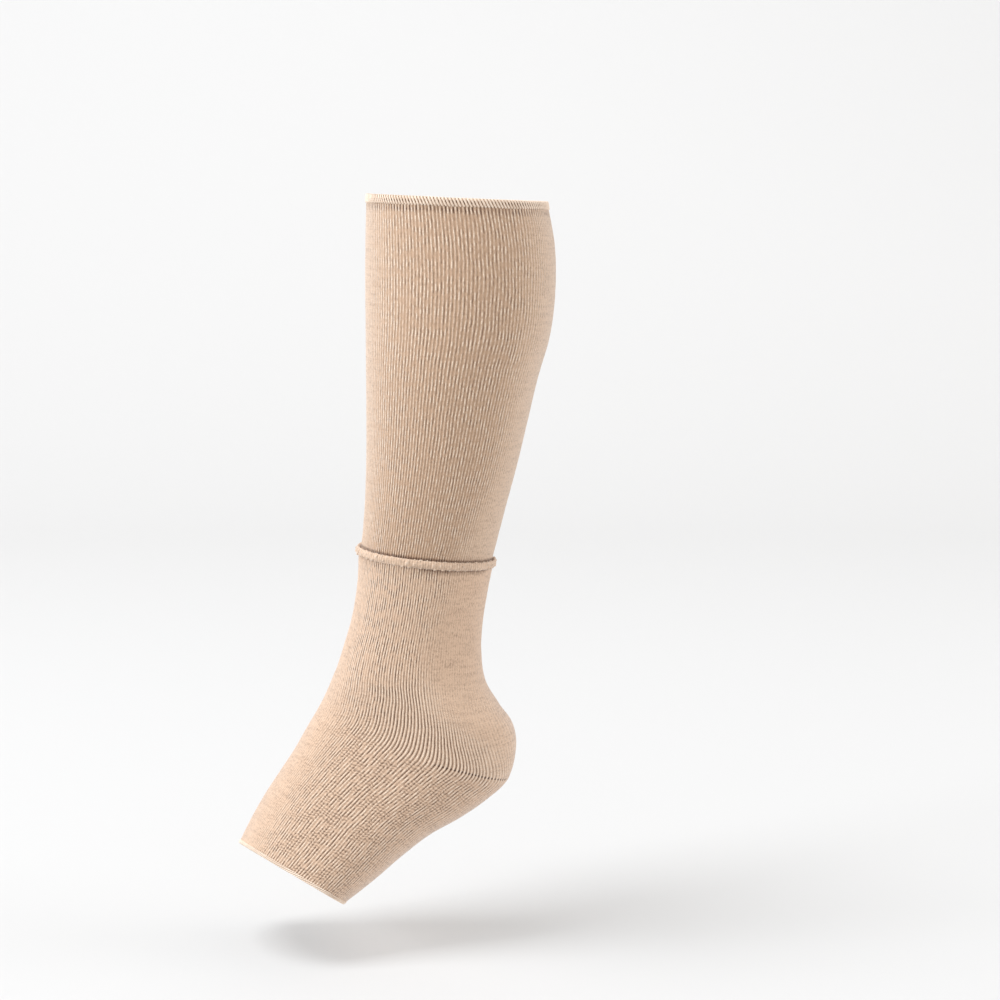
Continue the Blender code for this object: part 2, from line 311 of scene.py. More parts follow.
def wale_places(rows, wales):
    """The row and angle of each wale in each mesh row.

    row = mesh row + bow at that side * a bell round the heel row; moved = side - move at that row
    and side; the share of the section is half of moved on the inner side, and one less that on the
    outer.
    """
    rows = np.asarray(rows, float)[:, None]
    turn = np.atleast_2d(wales) / WALES
    side = side_of(turn)
    bell = np.exp(-(((rows - HEEL_ROW) / BOW_SPREAD) ** 2))
    bowed = rows + np.interp(side, FINE_SIDES, FINE_BOWS) * bell
    moves = smooth_table(MOVE_ROWS, FINE_MOVES, rows[:, 0])
    across = np.clip(side, 0, 1) * (FINE_COUNT - 1)
    low = np.minimum(across.astype(int), FINE_COUNT - 2)
    line = np.arange(len(rows))[:, None]
    moved = side - between(moves[line, low], moves[line, low + 1], across - low)
    return bowed, section_angles(bowed, np.where(turn <= 0.5, moved / 2, 1 - moved / 2))


def outward_normals(points):
    """Unit normals of a grid of points: the difference round it crossed with that down it."""
    down = np.gradient(points, axis=0)
    around = np.roll(points, -1, axis=1) - np.roll(points, 1, axis=1)
    normal = np.cross(around, down)
    return normal / np.linalg.norm(normal, axis=-1, keepdims=True)


wales = np.arange(COLUMNS) / COLUMNS_PER_WALE
TURN = (wales / WALES)[None, :]
SIDE = side_of(TURN)
trial = worn_surface(*wale_places(np.linspace(0, TOE_ROW, 13), wales), 0)
girths = np.linalg.norm(np.roll(trial, -1, axis=1) - trial, axis=-1).sum(axis=1)
print("girths down the tube, mm:", (girths * 1000).round(0).tolist())
outward = outward_normals(trial)
print("normals point out:", float((outward[0, 0] @ np.array((-1.0, 0, 0))).round(2)))

# %% [markdown]
# ## Uneven knitting
#
# No knit is quite even: the yarn's tension changes, so wales wander and ribs swell and sink. A
# Displace modifier with a noise texture could do it, but would not know where a wale runs.
# `ripples` adds a few plane waves that go a whole number of times round the tube, so they meet
# themselves, with seeded directions and phases. `SWAY` moves the wales sideways, `STRENGTH` makes
# ribs stronger and weaker, and `LUMPS` thickens the rolled edge.


# %% Ripples
def wave_table(seed, count, most_round, most_down):
    """Seeded waves: whole turns round the tube, turns per metre down it, and a phase."""
    random = np.random.default_rng(seed)
    return np.column_stack(
        (random.integers(-most_round, most_round + 1, count),
         random.uniform(-most_down, most_down, count),
         random.uniform(0, math.tau, count))
    )


def ripples(table, turn, run):
    """The sum over the table of sine(turns round + turns down + phase), with a spread of about 1."""
    total = sum(np.sin(math.tau * (a * turn + b * run) + c) for a, b, c in table)
    return total / math.sqrt(len(table) / 2)


SWAY = wave_table(seed=11, count=12, most_round=12, most_down=45)
STRENGTH = wave_table(seed=12, count=26, most_round=70, most_down=160)
LUMPS = wave_table(seed=13, count=26, most_round=75, most_down=0.28)
sample = ripples(SWAY, np.linspace(0, 1, 400)[None, :], np.linspace(0, 0.2, 50)[:, None])
print("ripples: spread", sample.std().round(2))

# %% [markdown]
# ## The two sides of a knitted wall
#
# A rib stands 0.12 mm out and its gap lies 0.18 mm deep, so the ribs catch light from the side. A
# bump map could fake that, but not on the outline or in the exported mesh, so the mesh has them:
# five columns for each wale. `knit_side` lays the wales over the worn surface and adds the height
# along the normal, a cosine with one whole turn for each wale. It also returns the length run down
# each wale, which counts the courses, the rows of stitches. `shown_ribs` says where ribs show, as
# cloth that is pulled tight over a round form is smooth.

# %% Where the ribs show
FADE_ROWS = (0.0, 6.0, 9.0, 12.0, 14.0, 15.2, 16.0, 17.0, 18.5, 24.0)
FADE_SIDES = (0.78, 0.76, 0.66, 0.58, 0.62, 0.74, 0.86, 0.90, 0.83, 0.80)
SOFT_ROWS = (13.5, 15.0, 16.8, 17.5)
SOFT_SIDES = (0.10, 0.20, 0.22, 0.10)
FRONT_ROWS = (0.0, 12.0, 17.0, 24.0)
FRONT_SIDES = (0.16, 0.16, 0.22, 0.32)
FADE_END = 0.10
FRONT_SOFT = 0.13
MOST_HIDDEN = 0.85
LEAST_SHOWN = 0.25


def shown_ribs(rows):
    """How clearly the ribs show, 0 to 1: they fade at the back and under the sole, and in front."""
    fade = np.interp(rows, FADE_ROWS, FADE_SIDES)[:, None]
    front = np.interp(rows, FRONT_ROWS, FRONT_SIDES)[:, None]
    soft = np.interp(rows, SOFT_ROWS, SOFT_SIDES)[:, None]
    behind = 1 - MOST_HIDDEN * smooth_step(fade - soft, fade + FADE_END, SIDE)
    in_front = smooth_step(front - FRONT_SOFT, front + FRONT_SOFT, SIDE)
    return behind * (LEAST_SHOWN + (1 - LEAST_SHOWN) * in_front)


clear = shown_ribs(np.linspace(0, TOE_ROW, 13))
print("ribs shown, least to most down the tube:", clear.min().round(2), clear.max().round(2))


# %% Knit sides
RIB_RISE = 0.00012
RIB_SINK = 0.00018
RIB_STRENGTH, STRENGTH_SPREAD, STRENGTH_LIMITS = 0.95, 0.22, (0.35, 1.35)
FLATTER_WHERE_FADED = 0.6
FLATTER_FOREFOOT, FOREFOOT_ROWS = 0.3, (16.8, 18.5)
SWAY_WALES = 0.10
COURSE = 0.0014  # height of one stitch


def knit_side(rows, out, ribs):
    """Points, run and normals of one side of a wall, out from the worn surface.

    height = (rise + sink) * strength * (1 + cosine(wale)) / 2 - sink, times ribs from 0 to 1.
    The height is less where the ribs fade, and on the forefoot.
    """
    inner_line = worn_surface(rows, np.array([[math.pi / 2]]), 0)[:, 0]
    down = np.cumsum(np.linalg.norm(np.diff(inner_line, axis=0), axis=-1))
    down = np.concatenate(([0], down))[:, None]
    sway = SWAY_WALES * ripples(SWAY, TURN, down) * np.sin(math.tau * TURN / 2) ** 2
    points = worn_surface(*wale_places(rows, wales[None, :] + sway), out)
    steps = np.linalg.norm(np.diff(points, axis=0), axis=-1)
    run = np.vstack((np.zeros((1, COLUMNS)), np.cumsum(steps, axis=0)))
    strength = RIB_STRENGTH + STRENGTH_SPREAD * ripples(STRENGTH, TURN, down)
    strength = np.clip(strength, *STRENGTH_LIMITS)
    crest = (1 + np.cos(math.tau * wales))[None, :] / 2
    flat = 1 - FLATTER_WHERE_FADED * (1 - shown_ribs(rows))
    flat = flat * (1 - FLATTER_FOREFOOT * smooth_step(*FOREFOOT_ROWS, rows))[:, None]
    height = ((RIB_RISE + RIB_SINK) * strength * crest - RIB_SINK) * ribs * flat
    normals = outward_normals(points)
    return points + normals * height[..., None], run, normals


def place_mesh(name, mesh):
    """Puts a mesh into the scene as a smooth object at the origin."""
    mesh.shade_smooth()
    made = bpy.data.objects.new(name, mesh)
    bpy.context.scene.collection.objects.link(made)
    triangles = sum(len(face.vertices) - 2 for face in mesh.polygons)
    print(f"{name}: {len(mesh.vertices)} points, {triangles} triangles")
    return made


def knit_mesh(name, grid, turn_rows, counted):
    """An object from rings of points that close round the tube and from the last ring to the first.

    turn_rows holds the wale number of each column, counted the course number at the upper and the
    lower side of each row of faces. Both go into the UV map named stitches.
    """
    count, columns = grid.shape[:2]
    row = np.arange(count)[:, None] * columns
    column = np.arange(columns)[None, :]
    after = (column + 1) % columns
    below = np.roll(row, -1, axis=0)
    faces = np.stack((row + column, row + after, below + after, below + column), axis=-1)
    mesh = bpy.data.meshes.new(name)
    mesh.vertices.add(count * columns)
    mesh.vertices.foreach_set("co", grid.reshape(-1).astype(np.float32))
    mesh.loops.add(count * columns * 4)
    mesh.loops.foreach_set("vertex_index", faces.reshape(-1).astype(np.int32))
    mesh.polygons.add(count * columns)
    mesh.polygons.foreach_set("loop_start", np.arange(0, count * columns * 4, 4, dtype=np.int32))
    mesh.update(calc_edges=True)
    upper, lower = counted
    u = np.broadcast_to(turn_rows, (count, columns))
    step = turn_rows[1] - turn_rows[0]
    uv = np.stack(
        (np.stack((u, upper), -1), np.stack((u + step, np.roll(upper, -1, axis=1)), -1),
         np.stack((u + step, np.roll(lower, -1, axis=1)), -1), np.stack((u, lower), -1)),
        axis=2,
    )
    layer = mesh.uv_layers.new(name="stitches")
    layer.data.foreach_set("uv", uv.reshape(-1).astype(np.float32))
    return place_mesh(name, mesh)


def paint(made, name, values):
    """Stores one number for each point of the mesh, for its material."""
    layer = made.data.attributes.new(name, "FLOAT", "POINT")
    layer.data.foreach_set("value", values.reshape(-1).astype(np.float32))


# %% [markdown]
# ## Leg tube
#
# The upper tube reaches from the hem to a plain cut end hidden inside the foot sleeve. Solidify
# could thicken one sheet, but here both sides are made, because they differ: the outer side has
# ribs and goes down, the inner side is flat and comes back up one wall's thickness inside it. Both
# are one closed mesh. Under the hem the stitches draw the knit in, so the gaps between the wales
# open: the attribute `pinch` marks that band for the material, which paints the opened gaps darker
# as painted shade. `painted_roll_shade` marks a line of painted shade just above the rolled edge, and
# `shown` where the ribs show.

# %% Leg tube
LEG_ROWS_OUT, LEG_ROWS_HIDDEN, LEG_ROWS_IN = 100, 7, 24
PINCH_AT, PINCH_HALF = 0.0062, 0.0012
ROLL_SHADE_ABOVE, ROLL_SHADE_HALF = 0.0026, 0.0009
FLATTER_HIDDEN = 0.7
FAR_FROM_LINE = 1.0  # metres, for points without holes


def overlap_end():
    """The row where the leg tube's hidden end lies, OVERLAP down the front from the rolled edge."""
    rows = np.linspace(ROLL_ROW, ROLL_ROW + 6, 121)
    front = worn_surface(rows, np.array([[0.0]]), 0)[:, 0]
    return float(np.interp(OVERLAP, np.linalg.norm(front - front[0], axis=-1), rows))


def bell_curve(value, half_width):
    """1 at 0, falling to both sides."""
    return np.exp(-((value / half_width) ** 2))


end_row = overlap_end()
leg_out_rows = np.concatenate(
    (np.linspace(0, ROLL_ROW, LEG_ROWS_OUT), np.linspace(ROLL_ROW, end_row, LEG_ROWS_HIDDEN + 1)[1:])
)
below_roll = smooth_step(ROLL_ROW - 0.1, ROLL_ROW + 0.1, leg_out_rows)[:, None]
leg_outer, leg_run, _ = knit_side(leg_out_rows, 0, 1 - FLATTER_HIDDEN * below_roll)
leg_in_rows = np.linspace(end_row, 0, LEG_ROWS_IN)
leg_inner, inner_run, _ = knit_side(leg_in_rows[::-1], -WALL, 0)
leg_grid = np.concatenate((leg_outer, leg_inner[::-1]))
run = np.concatenate((leg_run, inner_run[::-1])) / COURSE
leg_knit = knit_mesh("leg_knit", leg_grid, wales, (run, np.roll(run, -1, axis=0)))
pinch = bell_curve(run * COURSE - PINCH_AT, PINCH_HALF)
pinch[len(leg_outer):] = 0
paint(leg_knit, "pinch", pinch)
paint(leg_knit, "line", np.full(run.shape, FAR_FROM_LINE))
paint(leg_knit, "even", np.zeros(run.shape))
paint(leg_knit, "shown", shown_ribs(np.concatenate((leg_out_rows, leg_in_rows))))
to_roll = leg_run - leg_run[int(np.argmin(np.abs(leg_out_rows - ROLL_ROW)))]
# Painted shade: a dark line on the tube just above the rolled edge, where the roll shades it.
painted_roll_shade = np.zeros(run.shape)
painted_roll_shade[:len(leg_outer)] = bell_curve(to_roll + ROLL_SHADE_ABOVE, ROLL_SHADE_HALF)
paint(leg_knit, "painted_roll_shade", painted_roll_shade)

# %% [markdown]
# ## Foot sleeve
#
# A second tube is worn over the first, one wall further out and a gap of 0.3 mm away. It is one
# closed mesh too: the outer side from the rolled edge to the toe edge, the inner side back up, and
# then the curl. The heel line is a row of open stitches, seen as small holes in a shallow groove.
# The holes could be cut with a Boolean, but they are smaller than a face of the mesh. So the groove
# is in the mesh and the holes are in the material.
# `band` is the shape of every soft mark here: up between two values, down between two others.

# %% Sleeve sides
FOOT_ROWS_OUT, FOOT_ROWS_IN = 84, 20
FOOT_OUT = GAP + WALL
GROOVE_DEPTH, GROOVE_HALF = 0.00020, 0.0008
LINE_SIDES = (0.58, 0.66, 0.90, 0.96)
NEAR_LINE = (-0.12, -0.05, 0.0, 0.05, 0.12)  # extra rows, so that the groove has its form
LEAST_STEP = 0.02


def band(value, rise, top, fall, end):
    """0 below rise, 1 from top to fall, 0 past end, with smooth slopes."""
    return smooth_step(rise, top, value) * (1 - smooth_step(fall, end, value))


foot_rows = np.linspace(ROLL_ROW, TOE_ROW, FOOT_ROWS_OUT)
foot_rows = np.unique(np.concatenate((foot_rows, HEEL_ROW + np.array(NEAR_LINE))))
foot_rows = foot_rows[np.concatenate(([True], np.diff(foot_rows) > LEAST_STEP))]
foot_outer, foot_run, foot_normals = knit_side(foot_rows, FOOT_OUT, 1)
foot_inner, foot_inner_run, _ = knit_side(np.linspace(ROLL_ROW, TOE_ROW, FOOT_ROWS_IN), GAP, 0)
line_at = int(np.argmin(np.abs(foot_rows - HEEL_ROW)))
from_line = foot_run - foot_run[line_at]
has_line = band(SIDE, *LINE_SIDES)
groove = GROOVE_DEPTH * bell_curve(from_line, GROOVE_HALF) * has_line
foot_outer = foot_outer - foot_normals * groove[..., None]
print("sleeve from the roll to the toes, mm:", (foot_run[-1, [0, COLUMNS // 2]] * 1000).round().tolist())

# %% [markdown]
# ## The rolled edge
#
# A knitted edge tends to curl, because its two faces don't pull equally. The sleeve's top edge
# curls outwards and down, so its inside shows, lumpy where the loops lie. A bevelled curve would
# give an even bead. This curl is the wall itself, carried on along part of an ellipse round a point
# just outside the wall: its hollow side, and one wall further out the side that shows, with the
# ripples `LUMPS` added to its radius.

# %% Rolled edge
CURL_ROWS, HOLLOW_ROWS = 16, 5
CURL_BUMP = 0.00008
CURL_LUMP, LUMP_LIMIT, LUMPS_DOWN = 0.00026, 3, 3
CURL_TUCK, DEEPEST_TUCK = 0.00012, 0.0003


def edge_directions(edge, near):
    """Directions at an open edge: out of the wall's outer side, and on past the edge."""
    past = edge - near
    past /= np.linalg.norm(past, axis=-1, keepdims=True)
    round_edge = np.roll(edge, -1, axis=0) - np.roll(edge, 1, axis=0)
    outward = np.cross(past, round_edge)
    outward /= np.linalg.norm(outward, axis=-1, keepdims=True)
    outward *= np.sign(np.sum(outward * (edge - edge.mean(axis=0))))
    return outward, past


def curl_point(edge, directions, angle, wall, push):
    """A point of the curl: its centre + outward * (radius + wall + push) * cosine
    + past * (half height + wall + push) * sine."""
    outward, past = directions
    across = (ROLL_RADIUS + wall + push)[..., None] * np.cos(angle)[:, None, None]
    up = (ROLL_HALF_HEIGHT + wall + push)[..., None] * np.sin(angle)[:, None, None]
    return edge + outward * (ROLL_RADIUS + across) + past * up


edge, near_edge = worn_surface(*wale_places([ROLL_ROW, ROLL_ROW + 0.5], wales), FOOT_OUT)
directions = edge_directions(edge, near_edge)
start, finish = math.pi - ROLL_SWEEP, math.pi
curl_angles = np.linspace(start, finish, CURL_ROWS)
free = ((1 + np.cos(curl_angles)) / 2)[:, None] ** 0.5
knobs = np.maximum(ripples(LUMPS, TURN, curl_angles[:, None] * LUMPS_DOWN), 0) ** 2
knobs = np.minimum(knobs, LUMP_LIMIT)
push = free * (CURL_BUMP * np.cos(math.tau * wales)[None, :] + CURL_LUMP * knobs - CURL_TUCK)
curl_out = curl_point(edge, directions, curl_angles, WALL, np.maximum(push, -DEEPEST_TUCK))
hollow_angles = np.linspace(finish, start, HOLLOW_ROWS + 1)[1:]
curl_in = curl_point(edge, directions, hollow_angles, 0.0, np.zeros((HOLLOW_ROWS, COLUMNS)))
print("roll stands out, mm:", ((ROLL_RADIUS * 2 + WALL + push.max()) * 1000).round(2))

# %% [markdown]
# ## Sleeve mesh and its marks
#
# The material needs to know where it is on the sleeve. Vertex groups or painted maps could say so.
# Point attributes are used, because the same arrays that made the shape fill them. `line` is the
# distance from the heel line along each wale, `shown` is how clearly the ribs show, `even` marks
# the regular fan above the heel line and the loops on the roll, whose knobs the material paints
# lighter where they stand out, as a painted highlight, and `painted_roll_shade` marks a line of painted
# shade just under the roll. Below the heel line the courses are counted back from the toe edge, so that
# they end level there, and the two counts meet at the front.

# %% Sleeve mesh
CURL_COURSE, HOLLOW_COURSE = 0.0009, 0.0012
FAN_ROWS, FAN_SIDES = (12.2, 13.6, 16.9, 17.5), (0.30, 0.50)
LEAST_EVEN_ON_ROLL = 0.25
ROLL_SHADE_BELOW, ROLL_SHADE_SIDES, ROLL_SHADE_SHARE = 0.0030, (0.42, 0.55, 0.84, 0.92), 0.7

foot_grid = np.concatenate((foot_outer, foot_inner[::-1], curl_out[::-1][1:], curl_in[::-1]))
curl_run = (np.arange(CURL_ROWS - 1) + 1)[:, None] * -CURL_COURSE + np.zeros((1, COLUMNS))
hollow_run = curl_run[-1] + (np.arange(HOLLOW_ROWS) + 1)[:, None] * HOLLOW_COURSE
to_toe = foot_run - foot_run[-1]
shift = foot_run[line_at, 0] - to_toe[line_at, 0]
below = to_toe + shift
parts_above = np.concatenate((foot_run, foot_inner_run[::-1], curl_run, hollow_run)) / COURSE
parts_below = np.concatenate((below, foot_inner_run[::-1], curl_run, hollow_run)) / COURSE
uses_below = np.zeros((len(foot_grid), 1), bool)
uses_below[line_at:len(foot_rows) - 1] = True
upper = np.where(uses_below, parts_below, parts_above)
lower = np.where(uses_below, np.roll(parts_below, -1, axis=0), np.roll(parts_above, -1, axis=0))
foot_knit = knit_mesh("foot_knit", foot_grid, wales, (upper, lower))
on_outside = slice(0, len(foot_rows))
on_roll = slice(len(foot_outer) + len(foot_inner), len(foot_grid) - HOLLOW_ROWS)
line = np.full(parts_above.shape, FAR_FROM_LINE)
line[on_outside] = np.where(has_line > 0.5, np.abs(from_line), FAR_FROM_LINE)
paint(foot_knit, "line", line)
paint(foot_knit, "pinch", np.zeros(line.shape))
shown = np.full(line.shape, LEAST_SHOWN)
shown[on_outside] = shown_ribs(foot_rows)
paint(foot_knit, "shown", shown)
even = np.zeros(line.shape)
fan = band(foot_rows, *FAN_ROWS)[:, None] * smooth_step(*FAN_SIDES, SIDE)
even[on_outside] = fan * shown[on_outside]
# On the roll this grows where the knobs stand out, so the material paints them lighter: a painted
# highlight.
even[on_roll] = between(LEAST_EVEN_ON_ROLL, 1, knobs[::-1][1:] / LUMP_LIMIT)
paint(foot_knit, "even", even)
# Painted shade: a dark line on the outer side just under the roll, along part of the side.
painted_roll_shade = np.zeros(line.shape)
painted_roll_shade[on_outside] = bell_curve(foot_run - ROLL_SHADE_BELOW, ROLL_SHADE_HALF) * band(SIDE, *ROLL_SHADE_SIDES) * ROLL_SHADE_SHARE
paint(foot_knit, "painted_roll_shade", painted_roll_shade)

# %% [markdown]
# ## Overlocked edges
#
# Both cut edges are bound with an overlock stitch: a thread that climbs the edge on a slant, turns
# over it and goes down inside, and a second one under it that slants the other way. A curve object
# with a bevel could draw each, but its tube is round, and a few hundred curves are slow. Instead
# one short table gives the path of a stitch, numpy repeats it round the edge, and `sweep` makes a
# closed flat tube round each path: a ring of points for each path point, in a frame of the path's
# direction and the wall's outward direction.


# %% Threads
THREAD_END = 0.45  # thickness at a stitch's ends, as a share


def at_edge(frames, turn, side, along):
    """Points near an edge: the edge at that turn, plus outward * side, plus past * along."""
    place = (turn % 1.0) * COLUMNS
    first = np.floor(place).astype(int)
    share = (place - first)[..., None]
    edge, outward, past = (
        between(ring[first % COLUMNS], ring[(first + 1) % COLUMNS], share) for ring in frames
    )
    return edge + outward * side[..., None] + past * along[..., None], outward


def sweep(paths, fronts, width, thickness, sides):
    """Closed tubes along paths: an ellipse round each path point, smaller at both ends."""
    along = np.gradient(paths, axis=1)
    along /= np.linalg.norm(along, axis=-1, keepdims=True)
    across = np.cross(along, fronts)
    across /= np.linalg.norm(across, axis=-1, keepdims=True)
    up = np.cross(across, along)
    angle = np.arange(sides) * math.tau / sides
    taper = np.ones(paths.shape[1])
    taper[[0, -1]] = THREAD_END
    ring = (
        across[:, :, None] * (np.cos(angle) * width / 2)[:, None]
        + up[:, :, None] * (np.sin(angle) * thickness / 2)[:, None]
    )
    points = paths[:, :, None] + ring * taper[None, :, None, None]
    strands, length = paths.shape[:2]
    corner = np.arange(strands * length * sides).reshape(strands, length, sides)
    after = np.roll(corner, -1, axis=2)
    quads = np.stack(
        (corner[:, :-1], after[:, :-1], after[:, 1:], corner[:, 1:]), axis=-1
    ).reshape(-1, 4)
    caps = np.concatenate((corner[:, 0, ::-1], corner[:, -1]))
    return points.reshape(-1, 3), quads.tolist() + caps.tolist()


def stitch_paths(frames, count, table, height):
    """One path for each stitch, from a table of (share of the pitch, side, share of height)."""
    shift, side, along = table.T
    turn = (np.arange(count)[:, None] - shift[None, :]) / count
    shape = np.ones((count, 1))
    return at_edge(frames, turn, shape * side[None, :], shape * along[None, :] * height)


def thread_object(name, parts):
    """Joins swept threads into one object."""
    points, faces, first = [], [], 0
    for part_points, part_faces in parts:
        points.append(part_points)
        faces += [[corner + first for corner in face] for face in part_faces]
        first += len(part_points)
    mesh = bpy.data.meshes.new(name)
    mesh.from_pydata(np.concatenate(points), [], faces)
    return place_mesh(name, mesh)


def edge_frames(row, near_row, out):
    """The edge ring of a wall and its two directions, one for each mesh column."""
    rings = worn_surface(*wale_places([row, near_row], wales), out)
    return (rings[0], *edge_directions(rings[0], rings[1]))


# %% [markdown]
# ## Hem and toe edging
#
# The hem at the top is about 5 mm high. The toe edging is a thin line of the same stitch, less than
# half as high, from a finer thread that lies closer to the wall. Two sets of paths could be drawn.
# Both come from the same two tables instead, and `closer` draws the sides in for the toe edge.

# %% Stitches
# Each point: share of the stitch's pitch, mm out of the wall's outer side, share of the height
MM = 0.001
OVER = np.array((
    (0.97, -0.05, -1.00), (0.95, 0.28, -0.94), (0.80, 0.40, -0.78), (0.55, 0.45, -0.54),
    (0.30, 0.45, -0.28), (0.08, 0.38, -0.04), (0.00, 0.10, -0.02), (-0.02, -0.50, -0.01),
    (0.00, -1.10, -0.02), (0.08, -1.38, -0.04), (0.35, -1.45, -0.33), (0.65, -1.42, -0.62),
    (0.88, -1.30, -0.86), (0.95, -0.95, -0.95),
)) * (1, MM, 1)
UNDER = np.array((
    (0.10, 0.02, -0.98), (0.22, 0.20, -0.90), (0.45, 0.24, -0.60), (0.70, 0.24, -0.30),
    (0.92, 0.20, -0.10), (1.00, -0.50, -0.03), (0.92, -1.20, -0.05), (0.60, -1.24, -0.45),
    (0.25, -1.20, -0.88), (0.15, -0.98, -0.95),
)) * (1, MM, 1)
HEM_STITCHES, EDGING_STITCHES = 160, 190
NEAR_EDGE = 0.15  # rows between the edge and the ring that gives its directions
CLOSER = 0.7
INSIDE = -0.9 * MM


def closer(table):
    """The table with its points nearer to the wall: CLOSER times as far from the face on their side."""
    shift, side, along = table.T
    inside = -WALL + (side + WALL) * CLOSER
    side = np.where(side > 0, side * CLOSER, np.where(side <= INSIDE, inside, side))
    return np.column_stack((shift, side, along))


def overlocked(name, frames, count, height, sides, threads):
    """An edge's stitches: for each table its paths, swept with a width and a thickness."""
    parts = [
        sweep(*stitch_paths(frames, count, table, height), width, thickness, sides)
        for table, width, thickness in threads
    ]
    made = thread_object(name, parts)
    paint(made, "under", np.repeat((0.0, 1.0), [len(points) for points, faces in parts]))
    return made


hem = overlocked(
    "hem_stitches", edge_frames(0.0, NEAR_EDGE, 0.0), HEM_STITCHES, HEM_HEIGHT, 8,
    ((OVER, 1.10 * MM, 0.66 * MM), (UNDER, 0.80 * MM, 0.40 * MM)),
)
edging = overlocked(
    "toe_edge_stitches", edge_frames(TOE_ROW, TOE_ROW - NEAR_EDGE, FOOT_OUT),
    EDGING_STITCHES, EDGING_HEIGHT, 6,
    ((closer(OVER), 0.80 * MM, 0.42 * MM), (closer(UNDER), 0.60 * MM, 0.30 * MM)),
)

# %% [markdown]
# ## Materials
#
# A material is a tree of nodes, and a knit pattern needs dozens of Math nodes. They could be laid
# out one by one in the editor. `Signal` wraps a socket instead, so that a formula in Python makes
# them, and `Cloth` holds a material with its tree and its Principled shader.


# %% Node signals
class Signal:
    """A value inside a material. Arithmetic with signals and numbers adds Math nodes."""

    def __init__(self, tree, socket):
        self.tree = tree
        self.socket = socket

    def math(self, operation, *others):
        """One Math node on this value and the others."""
        node = self.tree.nodes.new("ShaderNodeMath")
        node.operation = operation
        for socket, value in zip(node.inputs, (self, *others)):
            feed(self.tree, socket, value)
        return Signal(self.tree, node.outputs[0])

    def __add__(self, other):
        return self.math("ADD", other)

    def __sub__(self, other):
        return self.math("SUBTRACT", other)

    def __mul__(self, other):
        return self.math("MULTIPLY", other)

    def __rsub__(self, other):
        return (self * -1.0) + other

    __radd__ = __add__
    __rmul__ = __mul__

    def clamped(self):
        """The value kept between 0 and 1."""
        return self.math("MAXIMUM", 0.0).math("MINIMUM", 1.0)

    def ramp(self, low, high):
        """0 at low, 1 at high, smooth between."""
        node = self.tree.nodes.new("ShaderNodeMapRange")
        node.interpolation_type = "SMOOTHSTEP"
        feed(self.tree, node.inputs["Value"], self)
        node.inputs["From Min"].default_value = low
        node.inputs["From Max"].default_value = high
        return Signal(self.tree, node.outputs["Result"])

    def wave(self):
        """Cosine of a whole turn for each 1, from -1 to 1."""
        return (self * math.tau).math("COSINE")


def feed(tree, socket, value):
    """Links a signal to a socket, or sets the socket's own number."""
    if isinstance(value, Signal):
        tree.links.new(value.socket, socket)
    else:
        socket.default_value = value


class Cloth:
    """A new material with its node tree and its Principled shader."""

    def __init__(self, name, **constants):
        self.material = bpy.data.materials.new(name)
        self.material.use_nodes = True
        self.tree = self.material.node_tree
        self.shader = self.tree.nodes["Principled BSDF"]
        for label, value in constants.items():
            self.shader.inputs[label.replace("_", " ").title()].default_value = value

    def node(self, kind, output, settings=(), **values):
        """Adds a node of a kind, sets it up, feeds its inputs and returns one output."""
        made = self.tree.nodes.new("ShaderNode" + kind)
        for label, value in settings:
            setattr(made, label, value)
        for label, value in values.items():
            feed(self.tree, made.inputs[label.replace("_", " ")], value)
        return Signal(self.tree, made.outputs[output])

    def parts(self, vector):
        """The first two numbers of a vector."""
        split = self.tree.nodes.new("ShaderNodeSeparateXYZ")
        feed(self.tree, split.inputs[0], vector)
        return tuple(Signal(self.tree, split.outputs[index]) for index in (0, 1))

    def mix(self, share, first, second):
        """A colour that lies a share of the way from the first to the second."""
        made = self.tree.nodes.new("ShaderNodeMix")
        made.data_type = "RGBA"
        feed(self.tree, made.inputs["Factor"], share)
        sockets = {s.identifier: s for s in (*made.inputs, *made.outputs)}
        for label, value in (("A_Color", first), ("B_Color", second)):
            feed(self.tree, sockets[label], value)
        return Signal(self.tree, sockets["Result_Color"])

    def finish(self, colour, height, distance):
        """Feeds the colour, and the height as bump."""
        feed(self.tree, self.shader.inputs["Base Color"], colour)
        bump = self.node("Bump", "Normal", Height=height, Distance=distance, Strength=1.0)
        feed(self.tree, self.shader.inputs["Normal"], bump)
        return self.material


def linear(red, green, blue):
    """A colour from its 0 to 255 screen values."""
    values = np.array((red, green, blue)) / 255
    values = np.where(values <= 0.04045, values / 12.92, ((values + 0.055) / 1.055) ** 2.4)
    return (*values.tolist(), 1.0)


# %% [markdown]
# ## Knit and thread
#
# The elastic yarn is pale beige. The ribs' crests are nearly white, partly the yarn and partly a
# painted highlight, their flanks tan, and the gaps between them are painted brown, as the shade one
# sees down in them. A photographed texture would stretch and repeat. Here the UV map counts
# stitches: whole numbers across are the crests of the wales, whole numbers down are the courses, so
# the pattern bends with the knit. Noise in the same counts breaks it up: `tension` along each wale,
# `patch` over several, `fibre` within a stitch. On the forefoot the courses show too, as fine marks
# across the ribs. Most of these terms also raise the bump. The threads are the same yarn, spun
# tighter, and the one under is in shade.

# %% Knit material
KNIT_BUMP, THREAD_BUMP = 0.00018, 0.00008
HOLE_EDGE = (0.0003, 0.0008)  # metres from the heel line
FOREFOOT_COURSES = (45.0, 80.0)
HATCH_PITCH = 0.72  # cross marks for each course
# Crest colour: the pale yarn with a painted highlight. Gap colour: painted shade.
CREST_COLOUR = linear(248, 230, 210)
# Both tubes are one yarn; FOOT_FLANK is lighter than LEG_FLANK as painted light, for the light the floor
# throws up onto the foot.
LEG_FLANK = linear(187, 155, 128)
FOOT_FLANK = linear(205, 174, 148)
GAP_COLOUR = linear(88, 58, 38)
THREAD_COLOUR = linear(242, 224, 206)
THREAD_SHADE = linear(204, 175, 150)
UNDER_COLOUR = linear(150, 118, 90)


